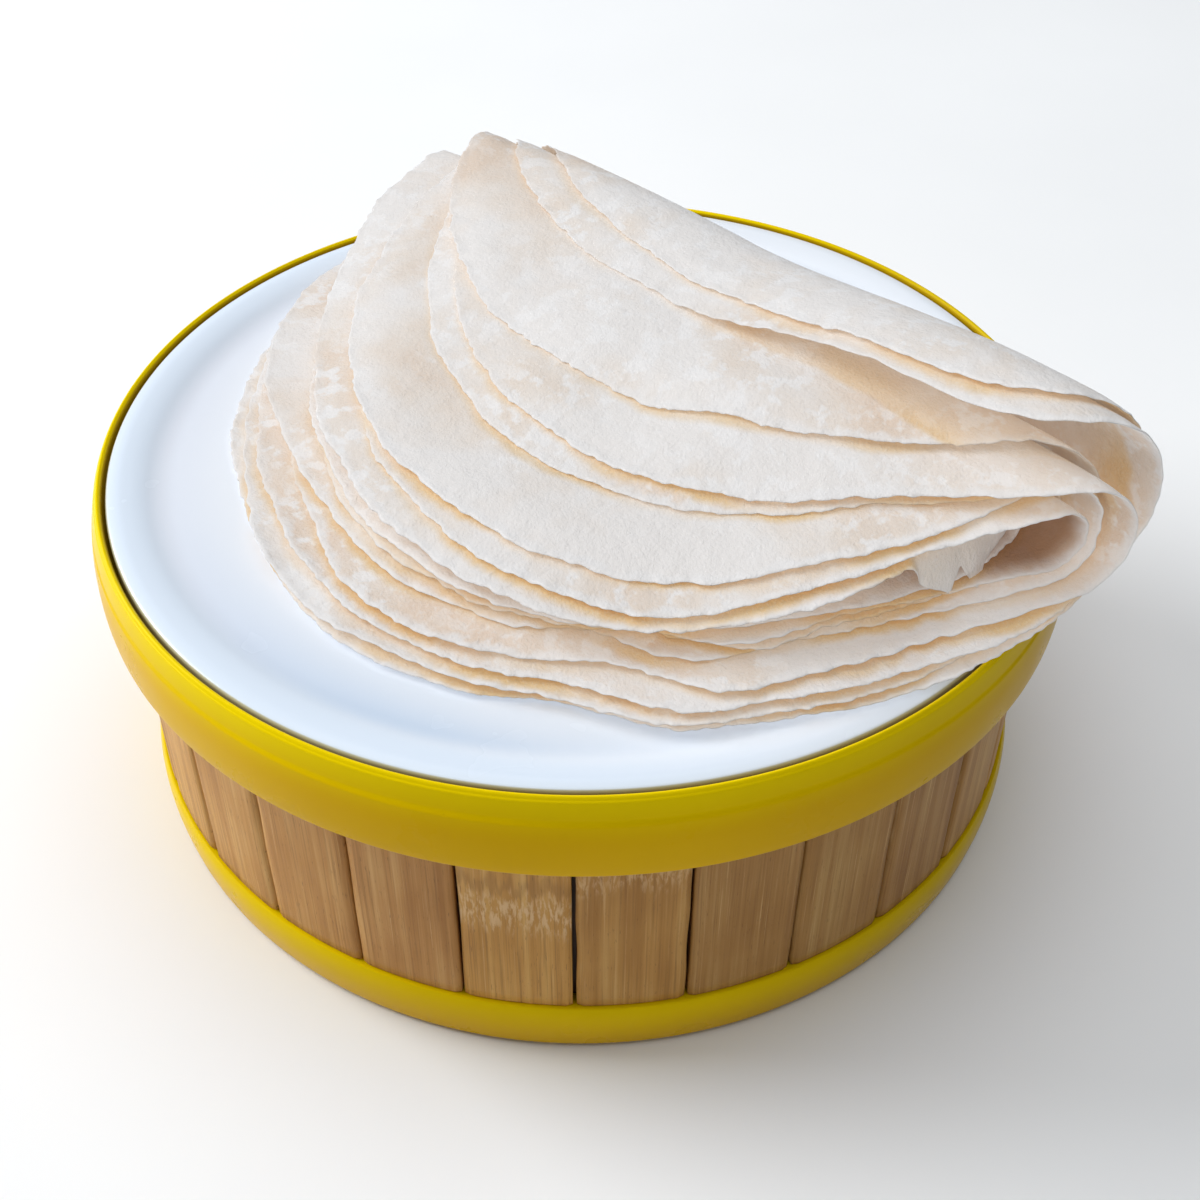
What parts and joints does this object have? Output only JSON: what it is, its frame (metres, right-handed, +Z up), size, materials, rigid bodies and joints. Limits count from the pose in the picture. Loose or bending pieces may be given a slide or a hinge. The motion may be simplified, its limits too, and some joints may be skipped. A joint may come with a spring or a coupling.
{
  "type": "stack of mandarin pancakes",
  "caption": "Thin pale wheat pancakes folded over together in a loose nested stack, lying on the shut white lid of a low round yellow-rimmed box clad in bamboo slats.",
  "frame": {"origin": "centre of the box's flat underside", "axes": "+Z up, -Y towards the viewer of the picture, +X to the viewer's right; the pancakes' fold runs from the far left to the near right, 47 degrees clockwise of +X"},
  "size_m": [0.2159, 0.2126, 0.1237],
  "materials": {
    "dough": "matte, floury, slightly translucent",
    "lid_white": "glossy cool white",
    "yellow_rim": "glossy bright yellow",
    "box_body": "satin yellow",
    "bamboo": "satin varnished bamboo"
  },
  "bodies": {
    "root": {"pancake_1": "dough", "pancake_2": "dough", "pancake_3": "dough", "pancake_4": "dough", "pancake_5": "dough", "pancake_6": "dough", "pancake_7": "dough", "pancake_8": "dough", "lid_panel": "lid_white", "lid_band": "yellow_rim", "base_ring": "yellow_rim", "box_core": "box_body", "slat_01": "bamboo", "slat_02": "bamboo", "slat_03": "bamboo", "slat_04": "bamboo", "slat_05": "bamboo", "slat_06": "bamboo", "slat_07": "bamboo", "slat_08": "bamboo", "slat_09": "bamboo", "slat_10": "bamboo", "slat_11": "bamboo", "slat_12": "bamboo", "slat_13": "bamboo", "slat_14": "bamboo", "slat_15": "bamboo", "slat_16": "bamboo", "slat_17": "bamboo", "slat_18": "bamboo", "slat_19": "bamboo", "slat_20": "bamboo", "slat_21": "bamboo", "slat_22": "bamboo", "slat_23": "bamboo", "slat_24": "bamboo", "slat_25": "bamboo", "slat_26": "bamboo", "slat_27": "bamboo", "slat_28": "bamboo"}
  },
  "joints": []
}
